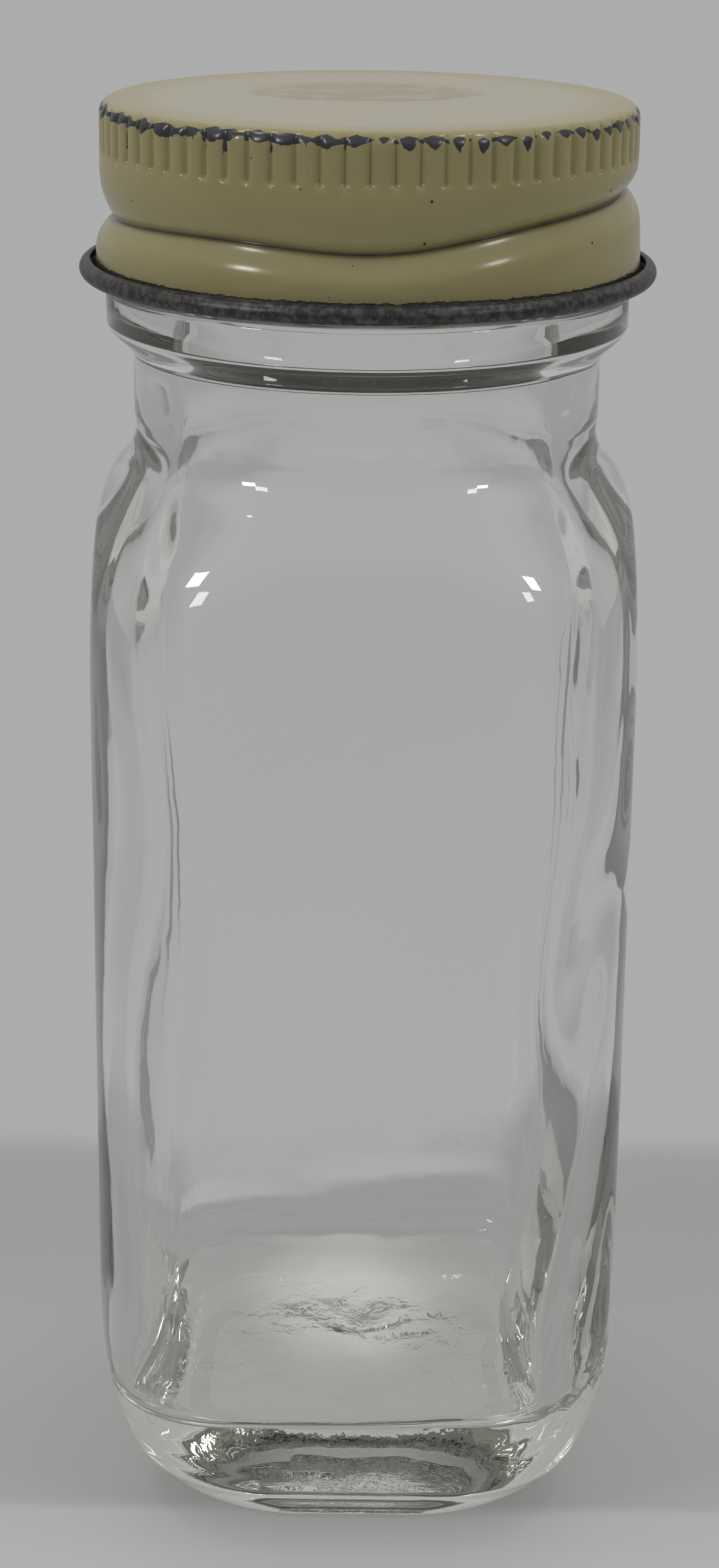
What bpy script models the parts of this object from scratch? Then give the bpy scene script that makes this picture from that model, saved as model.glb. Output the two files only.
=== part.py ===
"""A square clear-glass apothecary bottle with a knurled, rolled-thread tinplate screw cap.

Metres, +Z up. The origin is the centre of the underside, on the plane that the bottle stands
on, and -Y is the front. The cap unscrews anticlockwise, seen from above.

The glass is one closed loft that runs from the middle of the inner floor, up the inside, over
the lip and down the outside to the middle of the underside. The cap is one sheet of tinplate,
lofted down its outer side, round the curl at its hem and back up its inner side.
"""
import math

import bpy

MM = 0.001

# Body of the bottle
BODY_WIDTH = 34.1 * MM
BODY_CORNER_RADIUS = 8.0 * MM
SIDE_HEIGHT = 39.3 * MM
GLASS_WALL = 2.3 * MM

# Heel: the whole section draws in on a quarter ellipse, and its corners grow rounder
HEEL_HEIGHT = 15.7 * MM
HEEL_INSET = 5.0 * MM
HEEL_CORNER_GROWTH = 1.8 * MM
BEARING_RING_WIDTH = 1.85 * MM
PUSH_UP = 1.0 * MM

# Inner floor, a shallow bowl over a thick base
FLOOR_THICKNESS = 6.7 * MM
FLOOR_DISH = 0.4 * MM
INNER_HEEL_HEIGHT = 2.6 * MM
INNER_HEEL_INSET = 2.3 * MM

# Shoulder: a dome cut by the four flat sides, with a fillet where it meets the neck
SHOULDER_HEIGHT = 17.0 * MM
SHOULDER_POWER = 2.2
SHOULDER_EDGE_BLEND = 1.2 * MM
NECK_FILLET = 1.0 * MM
INNER_NECK_FILLET = 3.0 * MM

# Neck and transfer bead
NECK_RADIUS = 14.7 * MM
NECK_HEIGHT = 4.6 * MM
BORE_RADIUS = 12.2 * MM
BEAD_FLARE_HEIGHT = 2.2 * MM
BEAD_HEIGHT = 2.2 * MM
BEAD_WIDTH = 1.48 * MM
BEAD_EDGE_RADIUS = 0.4 * MM

# Threaded finish, which stands on the bead
FINISH_RADIUS = 14.9 * MM
FINISH_HEIGHT = 9.25 * MM
FINISH_ROOT_FILLET = 0.3 * MM
LIP_OUTER_ROUND = 0.5 * MM
LIP_INNER_ROUND = 0.6 * MM

# One turn of right-hand thread. Angles are measured from the front, anticlockwise from above
THREAD_PITCH = 4.233 * MM
THREAD_HEIGHT = 1.05 * MM
THREAD_WIDTH = 2.6 * MM
THREAD_FRONT_BELOW_LIP = 3.0 * MM
THREAD_MIDDLE_DEG = -79.0
THREAD_HALF_SPAN_DEG = 160.0
THREAD_FADE_DEG = 30.0

# Tinplate cap
SHEET = 0.25 * MM
CAP_RADIAL_CLEARANCE = 0.45 * MM
CAP_EDGE_RADIUS = 0.85 * MM
HEM_CLEARANCE = 0.4 * MM
SKIRT_FLARE = 0.3 * MM
CURL_RADIUS = 0.59 * MM
CURL_SWEEP_DEG = 280.0

# Knurl: upright flutes pressed into the cap's upper band
FLUTE_COUNT = 71
FLUTE_DEPTH = 0.28 * MM
KNURL_HEIGHT = 2.4 * MM
FLUTE_RUNOUT = 0.35 * MM

# Thread rolled into the cap's skirt, a groove outside and a ridge inside: a long upper flank, a
# sharp crease and a short, full lower flank
GROOVE_UPPER_FLANK = 3.2 * MM
GROOVE_LOWER_FLANK = 1.4 * MM
GROOVE_KNURL_GAP = 0.1 * MM
GROOVE_HALF_SPAN_DEG = 165.0
GROOVE_FADE_DEG = 50.0
RIDGE_CLEARANCE = 0.55 * MM
THREAD_PLAY = 0.35 * MM

# Liner: a pulp board with a thin facing, held in the cap's crown
BOARD_THICKNESS = 0.85 * MM
FACING_THICKNESS = 0.2 * MM
LINER_EDGE_CLEARANCE = 0.25 * MM
SEAT_GAP = 0.25 * MM

# Facets
POINTS_PER_CORNER = 15
THREAD_ROWS = 6
UPPER_FLANK_ROWS = 4
LOWER_FLANK_ROWS = 3
SHOULDER_ROWS = 6
HEEL_ROWS = 7
CURL_ROWS = 8
LINER_SIDES = 60

# Heights, each stacked on the one below
SHOULDER_BASE_Z = HEEL_HEIGHT + SIDE_HEIGHT
NECK_BASE_Z = SHOULDER_BASE_Z + SHOULDER_HEIGHT
BEAD_FLARE_Z = NECK_BASE_Z + NECK_HEIGHT
BEAD_BASE_Z = BEAD_FLARE_Z + BEAD_FLARE_HEIGHT
BEAD_TOP_Z = BEAD_BASE_Z + BEAD_HEIGHT
LIP_Z = BEAD_TOP_Z + FINISH_HEIGHT
FACING_Z = LIP_Z + SEAT_GAP
BOARD_Z = FACING_Z + FACING_THICKNESS + SEAT_GAP
CAP_TOP_Z = BOARD_Z + BOARD_THICKNESS + SEAT_GAP + SHEET
CAP_HEM_Z = BEAD_TOP_Z + HEM_CLEARANCE

# Radii and depths that follow from a neighbour and a clearance
BODY_HALF = BODY_WIDTH / 2
BEAD_RADIUS = FINISH_RADIUS + BEAD_WIDTH
CAP_RADIUS = FINISH_RADIUS + THREAD_HEIGHT + CAP_RADIAL_CLEARANCE + SHEET
GROOVE_DEPTH = CAP_RADIUS - SHEET - (FINISH_RADIUS + RIDGE_CLEARANCE)
LINER_RADIUS = CAP_RADIUS - FLUTE_DEPTH - SHEET - LINER_EDGE_CLEARANCE
THREAD_FRONT_Z = LIP_Z - THREAD_FRONT_BELOW_LIP
CREASE_FRONT_Z = THREAD_FRONT_Z - THREAD_WIDTH / 2 - THREAD_PLAY


def smooth(t):
    """0 to 1 with level ends."""
    t = min(1.0, max(0.0, t))
    return t * t * (3 - 2 * t)


def bump(across):
    """Height of a rolled or moulded thread, 1 in its middle and 0 at its edges, -1 and 1."""
    return 0.5 + 0.5 * math.cos(math.pi * across)


def circle(radius, z, count):
    """A level ring of points, anticlockwise from +X."""
    angles = [2 * math.pi * i / count for i in range(count)]
    return [(radius * math.cos(a), radius * math.sin(a), z) for a in angles]


def rounded_square(half_width, corner_radius, z):
    """A level ring with flat sides and round corners, and a circle where the two sizes agree."""
    corner = min(corner_radius, half_width)
    offset = half_width - corner
    ring = []
    for side_x, side_y in ((1, 1), (-1, 1), (-1, -1), (1, -1)):
        start = math.atan2(side_y, side_x) - math.pi / 4
        for step in range(POINTS_PER_CORNER):
            angle = start + math.pi / 2 * (step + 0.5) / POINTS_PER_CORNER
            x = side_x * offset + corner * math.cos(angle)
            y = side_y * offset + corner * math.sin(angle)
            ring.append((x, y, z))
    return ring


def neck_ring(radius, z):
    """A round ring with the same points as the body's sections."""
    return rounded_square(radius, radius, z)


def one_turn(angle_deg, middle_deg, half_span_deg, fade_deg):
    """Rise and strength of a one-turn thread at an angle from the front.

    Past the thread's ends the strength is nothing, and the rise slides back to where the turn
    began, so that rows of points close on themselves.
    """
    along = (angle_deg - middle_deg + 180) % 360 - 180
    reach = abs(along)
    past_end = max(0.0, reach - half_span_deg) / (180 - half_span_deg)
    slid = math.copysign(min(reach, half_span_deg) * (1 - past_end), along)
    strength = smooth((half_span_deg - reach) / fade_deg)
    return THREAD_PITCH * (slid + middle_deg) / 360, strength


def angle_from_front(x, y):
    """Degrees anticlockwise from -Y, seen from above."""
    return math.degrees(math.atan2(y, x)) + 90


def loft(rings):
    """Vertices and faces of the closed surface through a list of rings.

    A ring is one point, or a count of points, or twice the count of its neighbour. Seen from
    above, rings run anticlockwise, and the surface faces up where they grow wider.
    """
    vertices = [point for ring in rings for point in ring]
    faces = []
    start = 0
    for upper, lower in zip(rings, rings[1:]):
        a, b = start, start + len(upper)
        na, nb = len(upper), len(lower)
        for i in range(min(n for n in (na, nb) if n > 1)):
            if na == 1:
                faces.append((a, b + i, b + (i + 1) % nb))
            elif nb == 1:
                faces.append((a + i, b, a + (i + 1) % na))
            elif na == nb:
                j = (i + 1) % na
                faces.append((a + i, b + i, b + j, a + j))
            elif nb == 2 * na:
                j, middle, end = (i + 1) % na, 2 * i + 1, (2 * i + 2) % nb
                faces.append((a + i, b + 2 * i, b + middle))
                faces.append((a + i, b + middle, a + j))
                faces.append((a + j, b + middle, b + end))
            else:
                j, middle, end = (i + 1) % nb, 2 * i + 1, (2 * i + 2) % na
                faces.append((a + 2 * i, b + i, a + middle))
                faces.append((a + middle, b + i, b + j))
                faces.append((a + middle, b + j, a + end))
        start += na
    return vertices, faces


def material(name, colour, roughness, metallic=0.0, transmission=0.0):
    """A Principled material with its own name."""
    made = bpy.data.materials.new(name)
    made.use_nodes = True
    shader = made.node_tree.nodes["Principled BSDF"]
    shader.inputs["Base Color"].default_value = (*colour, 1.0)
    shader.inputs["Roughness"].default_value = roughness
    shader.inputs["Metallic"].default_value = metallic
    shader.inputs["Transmission Weight"].default_value = transmission
    made.diffuse_color = (*colour, 1.0)
    return made


def piece(name, rings, finish, parent, origin_z, sharp_deg=35):
    """One sub-part, with its origin on the bottle's axis at the given height."""
    vertices, faces = loft(rings)
    mesh = bpy.data.meshes.new(name)
    mesh.from_pydata([(x, y, z - origin_z) for x, y, z in vertices], [], faces)
    mesh.materials.append(finish)
    mesh.shade_smooth()
    mesh.set_sharp_from_angle(angle=math.radians(sharp_deg))
    made = bpy.data.objects.new(name, mesh)
    bpy.context.collection.objects.link(made)
    made.parent = parent
    made.location = (0, 0, origin_z - parent.matrix_world.translation.z)
    return made


def empty(name, z, parent=None):
    """A frame that pieces hang from, on the bottle's axis."""
    made = bpy.data.objects.new(name, None)
    bpy.context.collection.objects.link(made)
    made.parent = parent
    made.location = (0, 0, z)
    bpy.context.view_layer.update()
    return made


def dome(start_reach, base_z, end_radius, end_z, fillet):
    """Height and diagonal reach of a shoulder, from the straight sides up to the neck.

    The dome's end leans as its power curve does, and the fillet turns that lean upright.
    """
    lean = 0.5
    for _ in range(30):
        join_reach = end_radius + fillet * (1 - math.cos(lean))
        join_z = end_z - fillet * math.sin(lean)
        lean = math.atan(SHOULDER_POWER * (start_reach - join_reach) / (join_z - base_z))
    stations = []
    for row in range(SHOULDER_ROWS + 1):
        t = row / SHOULDER_ROWS
        reach = start_reach - (start_reach - join_reach) * t ** SHOULDER_POWER
        stations.append((base_z + (join_z - base_z) * t, reach, t))
    for angle in (lean / 2, 0.0):
        reach = end_radius + fillet * (1 - math.cos(angle))
        stations.append((end_z - fillet * math.sin(angle), reach, 1.0))
    return stations


def shoulder_rings(half_width, corner_radius, base_z, end_radius, end_z, fillet):
    """Rings of a shoulder, bottom to top: a dome whose reach is cut by the flat sides."""
    root2 = math.sqrt(2)
    start_reach = (half_width - corner_radius) * root2 + corner_radius
    rings = []
    for z, reach, t in dome(start_reach, base_z, end_radius, end_z, fillet):
        blend = SHOULDER_EDGE_BLEND * t
        half = (half_width + reach - math.hypot(half_width - reach, blend)) / 2
        corner = (root2 * half - reach) / (root2 - 1)
        rings.append(rounded_square(half, corner, z))
    return rings


def quarter_arc(centre_radius, centre_z, radius, first_deg, last_deg, steps):
    """Radius and height of points on an arc in the axial plane, 0 degrees pointing outward."""
    turns = [math.radians(first_deg + (last_deg - first_deg) * i / steps) for i in range(steps + 1)]
    return [(centre_radius + radius * math.cos(a), centre_z + radius * math.sin(a)) for a in turns]


def glass_inside():
    """The hollow, from the middle of the inner floor up to the bore's top edge."""
    half = BODY_HALF - GLASS_WALL
    corner = BODY_CORNER_RADIUS - GLASS_WALL
    floor_z = PUSH_UP + FLOOR_THICKNESS
    floor_half = half - INNER_HEEL_INSET
    floor_edge_z = floor_z + FLOOR_DISH
    rings = [[(0, 0, floor_z)]]
    rings.append(rounded_square(floor_half / 2, corner / 2, floor_z + FLOOR_DISH / 4))
    heel_rows = HEEL_ROWS - 2
    for row in range(heel_rows + 1):
        turn = math.pi / 2 * (1 - row / heel_rows)
        inset = INNER_HEEL_INSET * (1 - math.cos(turn))
        z = floor_edge_z + INNER_HEEL_HEIGHT * (1 - math.sin(turn))
        rings.append(rounded_square(half - inset, corner, z))
    rings += shoulder_rings(half, corner, SHOULDER_BASE_Z, BORE_RADIUS, NECK_BASE_Z,
                            INNER_NECK_FILLET)
    lip = quarter_arc(BORE_RADIUS + LIP_INNER_ROUND, LIP_Z - LIP_INNER_ROUND,
                      LIP_INNER_ROUND, 180, 90, 2)
    return rings + [neck_ring(radius, z) for radius, z in lip]


def glass_thread():
    """Rows of points across the moulded thread, top row first."""
    rings = []
    for row in range(THREAD_ROWS + 1):
        across = 2 * row / THREAD_ROWS - 1
        ring = []
        for x, y, _ in neck_ring(1.0, 0.0):
            rise, strength = one_turn(angle_from_front(x, y), THREAD_MIDDLE_DEG,
                                      THREAD_HALF_SPAN_DEG, THREAD_FADE_DEG)
            radius = FINISH_RADIUS + THREAD_HEIGHT * strength * bump(across)
            z = THREAD_FRONT_Z + rise - across * THREAD_WIDTH / 2
            ring.append((x * radius, y * radius, z))
        rings.append(ring)
    return rings


def glass_neck_outside():
    """The lip's outer edge, the thread, the transfer bead and its flare, top to bottom."""
    lip = quarter_arc(FINISH_RADIUS - LIP_OUTER_ROUND, LIP_Z - LIP_OUTER_ROUND,
                      LIP_OUTER_ROUND, 90, 0, 2)
    bead = [(FINISH_RADIUS, BEAD_TOP_Z + FINISH_ROOT_FILLET)]
    bead.append((FINISH_RADIUS + FINISH_ROOT_FILLET, BEAD_TOP_Z))
    bead += quarter_arc(BEAD_RADIUS - BEAD_EDGE_RADIUS, BEAD_TOP_Z - BEAD_EDGE_RADIUS,
                        BEAD_EDGE_RADIUS, 90, 0, 2)
    for t in (0.0, 0.25, 0.5, 0.75, 1.0):
        radius = NECK_RADIUS + (BEAD_RADIUS - NECK_RADIUS) * smooth(1 - t)
        bead.append((radius, BEAD_BASE_Z - BEAD_FLARE_HEIGHT * t))
    rings = [neck_ring(radius, z) for radius, z in lip]
    rings += glass_thread()
    return rings + [neck_ring(radius, z) for radius, z in bead]


def glass_body_outside():
    """The shoulder, the sides, the heel and the underside, top to bottom."""
    shoulder = shoulder_rings(BODY_HALF, BODY_CORNER_RADIUS, SHOULDER_BASE_Z, NECK_RADIUS,
                              NECK_BASE_Z, NECK_FILLET)
    rings = shoulder[::-1]
    for row in range(HEEL_ROWS + 1):
        turn = math.pi / 2 * row / HEEL_ROWS
        inset = HEEL_INSET * (1 - math.cos(turn))
        corner = BODY_CORNER_RADIUS + HEEL_CORNER_GROWTH * inset / HEEL_INSET
        z = HEEL_HEIGHT * (1 - math.sin(turn))
        rings.append(rounded_square(BODY_HALF - inset, corner, z))
    dish_half = BODY_HALF - HEEL_INSET - BEARING_RING_WIDTH
    dish_corner = BODY_CORNER_RADIUS + HEEL_CORNER_GROWTH - BEARING_RING_WIDTH
    rings.append(rounded_square(dish_half, dish_corner, 0))
    rings.append(rounded_square(dish_half / 2, dish_corner / 2, PUSH_UP * 3 / 4))
    rings.append([(0, 0, PUSH_UP)])
    return rings


def flute_ring(radius, z, depth):
    """A ring with two points to a flute, one on the land and one at the flute's bottom."""
    ring = []
    for i, (x, y, _) in enumerate(circle(1.0, z, 2 * FLUTE_COUNT)):
        here = radius - depth * (i % 2)
        ring.append((x * here, y * here, z))
    return ring


def skirt_radius(z):
    """The cap's wall, which flares a little from the knurl's foot to the curl's top."""
    flare_top = CAP_TOP_Z - CAP_EDGE_RADIUS - KNURL_HEIGHT
    flare_foot = CAP_HEM_Z + 2 * CURL_RADIUS
    return CAP_RADIUS + SKIRT_FLARE * smooth((flare_top - z) / (flare_top - flare_foot))


def groove_point(row, crease_z, narrowed):
    """Height of a row across the rolled groove, and its share of the groove's depth.

    Rows count down from the knurl, and row 0 is the crease.
    """
    if row <= 0:
        away = -row / UPPER_FLANK_ROWS
        knurl_foot = CAP_TOP_Z - CAP_EDGE_RADIUS - KNURL_HEIGHT
        flank = min(GROOVE_UPPER_FLANK, knurl_foot - GROOVE_KNURL_GAP - crease_z)
        return crease_z + away * flank * narrowed, (1 - away) ** 2
    away = row / LOWER_FLANK_ROWS
    return crease_z - away * GROOVE_LOWER_FLANK * narrowed, 1 - math.sin(math.pi / 2 * away)


def groove_rings(inward):
    """Rows of points across the rolled groove, top row first, on one face of the sheet."""
    rings = []
    for row in range(-UPPER_FLANK_ROWS, LOWER_FLANK_ROWS + 1):
        ring = []
        for x, y, _ in circle(1.0, 0.0, FLUTE_COUNT):
            rise, strength = one_turn(angle_from_front(x, y), 0.0,
                                      GROOVE_HALF_SPAN_DEG, GROOVE_FADE_DEG)
            z, share = groove_point(row, CREASE_FRONT_Z + rise, 0.35 + 0.65 * strength)
            radius = skirt_radius(z) - inward - GROOVE_DEPTH * strength * share
            ring.append((x * radius, y * radius, z))
        rings.append(ring)
    return rings


def sheet_face(inward):
    """One face of the cap's sheet, from the middle of the crown down and round the curl.

    inward is 0 on the face that shows and the sheet's thickness on the other. Round the curl
    the face that shows becomes the hollow side.
    """
    crown_z = CAP_TOP_Z - inward
    edge_centre = CAP_RADIUS - CAP_EDGE_RADIUS
    edge_z = CAP_TOP_Z - CAP_EDGE_RADIUS
    knurl_foot = edge_z - KNURL_HEIGHT
    rings = [[(0, 0, crown_z)], circle(edge_centre / 2, crown_z, FLUTE_COUNT)]
    for radius, z in quarter_arc(edge_centre, edge_z, CAP_EDGE_RADIUS - inward, 90, 30, 2):
        rings.append(circle(radius, z, FLUTE_COUNT))
    wall = CAP_RADIUS - inward
    rings.append(circle(wall, edge_z, FLUTE_COUNT))
    rings.append(flute_ring(wall, edge_z - FLUTE_RUNOUT, FLUTE_DEPTH))
    rings.append(flute_ring(wall, knurl_foot + FLUTE_RUNOUT, FLUTE_DEPTH))
    rings.append(circle(wall, knurl_foot, FLUTE_COUNT))
    rings += groove_rings(inward)
    hem_radius = CAP_RADIUS + SKIRT_FLARE
    curl_z = CAP_HEM_Z + CURL_RADIUS
    rings.append(circle(hem_radius - inward, curl_z + CURL_RADIUS, FLUTE_COUNT))
    curl_centre = hem_radius + CURL_RADIUS - SHEET / 2
    curl_face = CURL_RADIUS - SHEET + inward
    for radius, z in quarter_arc(curl_centre, curl_z, curl_face, 180, 180 + CURL_SWEEP_DEG,
                                 CURL_ROWS):
        rings.append(circle(radius, z, FLUTE_COUNT))
    return rings


def liner_rings(z, thickness):
    """A plain disc that drops into the cap's crown."""
    top = z + thickness
    return [[(0, 0, top)], circle(LINER_RADIUS, top, LINER_SIDES),
            circle(LINER_RADIUS, z, LINER_SIDES), [(0, 0, z)]]


def build():
    """The bottle, and the closure that rises and turns on it."""
    for leftover in list(bpy.data.objects):
        bpy.data.objects.remove(leftover)

    stand = empty("bottle_axis", 0)
    closure = empty("closure_axis", CAP_HEM_Z, stand)

    glass = material("clear_flint_glass", (0.93, 0.95, 0.94), 0.03, transmission=1.0)
    glass_rings = glass_inside() + glass_neck_outside() + glass_body_outside()
    piece("glass_bottle", glass_rings, glass, stand, 0)

    tinplate = material("lacquered_tinplate", (0.36, 0.36, 0.29), 0.42, metallic=0.3)
    cap_rings = sheet_face(0.0) + sheet_face(SHEET)[::-1]
    piece("cap_shell", cap_rings, tinplate, closure, CAP_HEM_Z)

    board = material("pulp_board", (0.52, 0.46, 0.36), 0.9)
    piece("cap_liner_board", liner_rings(BOARD_Z, BOARD_THICKNESS), board, closure, BOARD_Z)

    facing = material("white_liner_facing", (0.86, 0.85, 0.8), 0.35)
    piece("cap_liner_facing", liner_rings(FACING_Z, FACING_THICKNESS), facing, closure, FACING_Z)


build()
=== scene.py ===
"""The finish of a square apothecary bottle: thick wavy glass under a worn, cream-lacquered cap.

Lengths are in millimetres and become metres where a mesh or a lamp takes them. Places and scales
in the material nodes are in metres. The bottle stands on z = 0, its front faces -Y, and angles
round it are measured from the front, anticlockwise from above.
"""

import math
from collections import namedtuple

import bpy
import numpy as np
from mathutils import Matrix, Vector


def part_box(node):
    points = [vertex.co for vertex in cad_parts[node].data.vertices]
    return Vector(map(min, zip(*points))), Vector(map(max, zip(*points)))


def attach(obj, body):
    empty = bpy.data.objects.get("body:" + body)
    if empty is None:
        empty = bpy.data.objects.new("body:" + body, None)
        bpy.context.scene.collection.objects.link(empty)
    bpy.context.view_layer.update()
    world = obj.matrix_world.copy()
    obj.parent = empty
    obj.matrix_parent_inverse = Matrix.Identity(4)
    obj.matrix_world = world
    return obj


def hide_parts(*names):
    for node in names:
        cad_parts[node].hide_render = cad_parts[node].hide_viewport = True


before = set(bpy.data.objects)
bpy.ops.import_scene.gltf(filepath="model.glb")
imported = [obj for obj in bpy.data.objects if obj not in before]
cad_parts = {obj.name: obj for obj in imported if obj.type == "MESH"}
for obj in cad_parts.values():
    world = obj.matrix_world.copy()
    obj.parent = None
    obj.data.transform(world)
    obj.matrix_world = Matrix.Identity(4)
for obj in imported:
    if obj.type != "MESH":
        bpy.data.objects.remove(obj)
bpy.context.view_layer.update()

MM = 0.001
ROOT_2 = math.sqrt(2)
_, GLASS_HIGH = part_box("glass_bottle")
CAP_LOW, CAP_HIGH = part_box("cap_shell")

# The photograph: its frame and focal length in pixels, and where the camera stood
PHOTO_WIDTH, PHOTO_HEIGHT = 1181, 2576
FOCAL_PIXELS = 5200
SENSOR = 36.0
CLIP_START = 10.0
CAMERA_DISTANCE = 198.0
CAMERA_HEIGHT = 115.15
CAMERA_PITCH_DEG = 18.81
CAMERA_ROLL_DEG = 0.62
AXIS_PIXEL_X = 595.1

# Outside of the bottle
GLASS_POINTS = 256
BODY_HALF = GLASS_HIGH.x / MM
LIP_Z = GLASS_HIGH.z / MM
BODY_CORNER = 8.0
HEEL_HEIGHT = 15.7
HEEL_INSET = 5.0
HEEL_CORNER_GROWTH = 1.8
RING_WIDTH = 1.85
RING_INNER_EDGE = 1.06
PUSH_UP = 0.35
NECK_BASE_Z = 72.2
NECK_RADIUS = 14.7
NECK_TOP_Z = 76.6
BEAD_BASE_Z = 78.8
BEAD_TOP_Z = 81.0
BEAD_RADIUS = 16.38
BEAD_EDGE = 0.4
FINISH_RADIUS = 14.9
ROOT_FILLET = 0.3
LIP_OUTER_ROUND = 0.5
LIP_INNER_ROUND = 0.6
PLATE_SEAM_Z = 2.8
PLATE_SEAM_STEP = 0.2
PLATE_SEAM_SOFT = 0.25

# Inside of the bottle
GLASS_WALL = 2.3
BORE_RADIUS = 12.2
BORE_FOOT_GAP, BORE_TOP_GAP = 0.6, 0.4
FLOOR_Z = 7.7
FLOOR_DISH = 0.4
INNER_HEEL_HEIGHT = 1.8
INNER_HEEL_INSET = 1.3
INNER_NECK_Z = 72.2

# Shoulders: domes that the body's flat sides cut, with a fillet into the neck; then how soft the
# cut's edge is at the sides and in front, and where the front begins
Shoulder = namedtuple("Shoulder", "half corner base_z neck_radius neck_z fillet power rows")
OUTER_SHOULDER = Shoulder(BODY_HALF, BODY_CORNER, base_z=55.0, neck_radius=NECK_RADIUS,
                          neck_z=NECK_BASE_Z, fillet=3.0, power=3.0, rows=24)
INNER_SHOULDER = Shoulder(BODY_HALF - GLASS_WALL, BODY_CORNER - GLASS_WALL, base_z=55.0,
                          neck_radius=BORE_RADIUS, neck_z=INNER_NECK_Z, fillet=5.5, power=2.95,
                          rows=20)
FILLET_ROWS = 8
LEAN_GUESS = 0.5
LEAN_PASSES = 30
SIDE_EDGE_BLEND = 1.2
FRONT_EDGE_BLEND = 3.0
FRONT_SHARE = (0.72, 0.25)

# Soft waves of the inner wall: size, lobes round the bottle, drop for a radian, and start. Here
# and below, a height where a form fades comes with the span over which it does
WALL_WAVES = ((0.07, 3, 5.1, 0.0), (0.05, 5, -3.7, 1.3))
WAVES_IN, WAVES_OUT = (9, 6), (74, 8)

# Places where the blown inner wall swells or thins: degrees from the front, height, how far it
# comes inward, and its spread in degrees and millimetres
WALL_SWELLS = (
    (-90, 66, 2.5, 22, 4.6),
    (90, 67, 2.0, 22, 4.4),
    (-62, 50, 0.55, 16, 7),
    (-40, 38, 0.35, 14, 10),
    (-75, 30, -0.3, 18, 8),
    (80, 57, 0.6, 9, 4),
    (66, 51, 0.7, 8, 4),
    (54, 45, 0.7, 8, 4),
    (47, 39, 0.75, 7, 5),
    (60, 33, -0.1, 16, 8),
    (70, 24, 0.15, 14, 6),
    (130, 45, 0.45, 20, 9),
    (-135, 40, 0.4, 20, 10),
    (180, 30, 0.2, 30, 12),
    (150, 22, 0.35, 16, 6),
)

# Small swells of the bore, given in the same way
NECK_SWELLS = (
    (-70, 74.0, 0.25, 9, 1.2),
    (64, 75.5, 0.25, 8, 1.6),
)

# The ledge that runs round the back of the inner wall just over the floor
LEDGE_Z = 10.7
LEDGE_SWAY, LEDGE_SWAY_TURNS, LEDGE_SWAY_DEG = 0.5, 3.2, 165
LEDGE_DEPTH, LEDGE_HEIGHT = 0.75, 0.55
LEDGE_END_DEG = (70, 25)

# The right wall grows thicker towards the floor
RIGHT_THICKENING, RIGHT_ROUNDING = 2.7, 1.5
RIGHT_END = (31, 25)

# Fine marks of the mould low on the inner wall: size, lobes and climb of two crossed waves
MOULD_SIZE, MOULD_END = 0.05, (24, 12)
MOULD_WAVES = ((7, 1.9), (11, -1.3))

# Unevenness of the floor and of the underside: lengths of the waves and how flat they lie, then
# the seed and the size of each
FLOOR_WAVES = (6.2, 4.6, 3.5, 2.8)
FLOOR_WAVE_STRETCH, FLOOR_WAVE_SCALE = 1.6, 7
INNER_RIPPLE, UNDER_RIPPLE = (3, 0.026), (4, 0.02)
UNDER_LIFT = 0.04
CALM_MIDDLE, CALM_RIM = 0.2, 0.15
PUSH_UP_SPAN = 0.6

# Ripples in the heel's outer skin: how far they run round and up, wavelength, depth, and where
# they lie: degrees from the front, height, and spread in degrees and millimetres
HEEL_RIPPLES = (
    (0.8, -0.6, 1.7, 0.05, 52, 9, 20, 5),
    (0.05, 1.0, 1.5, 0.025, -40, 4.5, 26, 2.5),
)
HEEL_REACH = 17

# Rows of points up or down each zone of the glass, then of the cap's sheet
FLOOR_ROWS, INNER_HEEL_ROWS, INNER_SIDE_ROWS, BORE_ROWS, LIP_ROWS = 13, 16, 28, 14, 5
THREAD_ROWS, ROOT_ROWS, BEAD_ROWS, UNDER_BEAD_ROWS, NECK_ROWS = 17, 3, 2, 13, 4
SIDE_ROWS, HEEL_ROWS, UNDERSIDE_ROWS = 12, 40, 16
CORNER_ROWS, KNURL_ROWS, FLANK_ROWS, CURL_ROWS = 15, 21, 17, 20
SKIRT_SHARES = (0.35, 0.7, 1.0)

# Moulded thread on the bottle; its turn, like the groove's, is a middle, a half span and a fade
PITCH = 4.233
THREAD_HEIGHT = 1.05
THREAD_WIDTH = 2.6
THREAD_FRONT_Z = LIP_Z - 3.0
THREAD_TURN_DEG = (-79.0, 160.0, 30.0)

# Cap
CAP_TOP_Z = CAP_HIGH.z / MM
CAP_HEM_Z = CAP_LOW.z / MM
SHEET = 0.25
CAP_RADIUS = 16.65
CAP_EDGE = 0.85
SKIRT_FLARE = 0.3
CURL_RADIUS = 0.59
CURL_SWEEP_DEG = 280.0
CROWN_SHARES = (0.1, 0.25, 0.4, 0.55, 0.7, 0.78, 0.85, 0.91, 0.96)
EDGE_CENTRE = CAP_RADIUS - CAP_EDGE
EDGE_Z = CAP_TOP_Z - CAP_EDGE
EDGE_ALONG = CAP_EDGE * math.pi / 2

# Knurl: its depth grows with the square and fourth power of the way across a land, rises over the
# cap's corner and ends at the knurl's foot. The nudge keeps a valley's points on one land
FLUTES = 71
FLUTE_POINTS = 12
FLUTE_STEP_DEG = 360 / FLUTES
FLUTE_PHASE_DEG = 0.3
FLUTE_DEPTH = 0.33
FLUTE_SQUARE, FLUTE_FOURTH = 0.3, 0.7
FLUTE_START_DEG = (65, 60)
FLUTE_CORNER_DEPTH = 0.85
FLUTE_RISE, FLUTE_FALL = 0.2, 0.13
LAND_NUDGE = 1e-6
KNURL_HEIGHT = 2.4
KNURL_FOOT_Z = EDGE_Z - KNURL_HEIGHT

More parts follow.
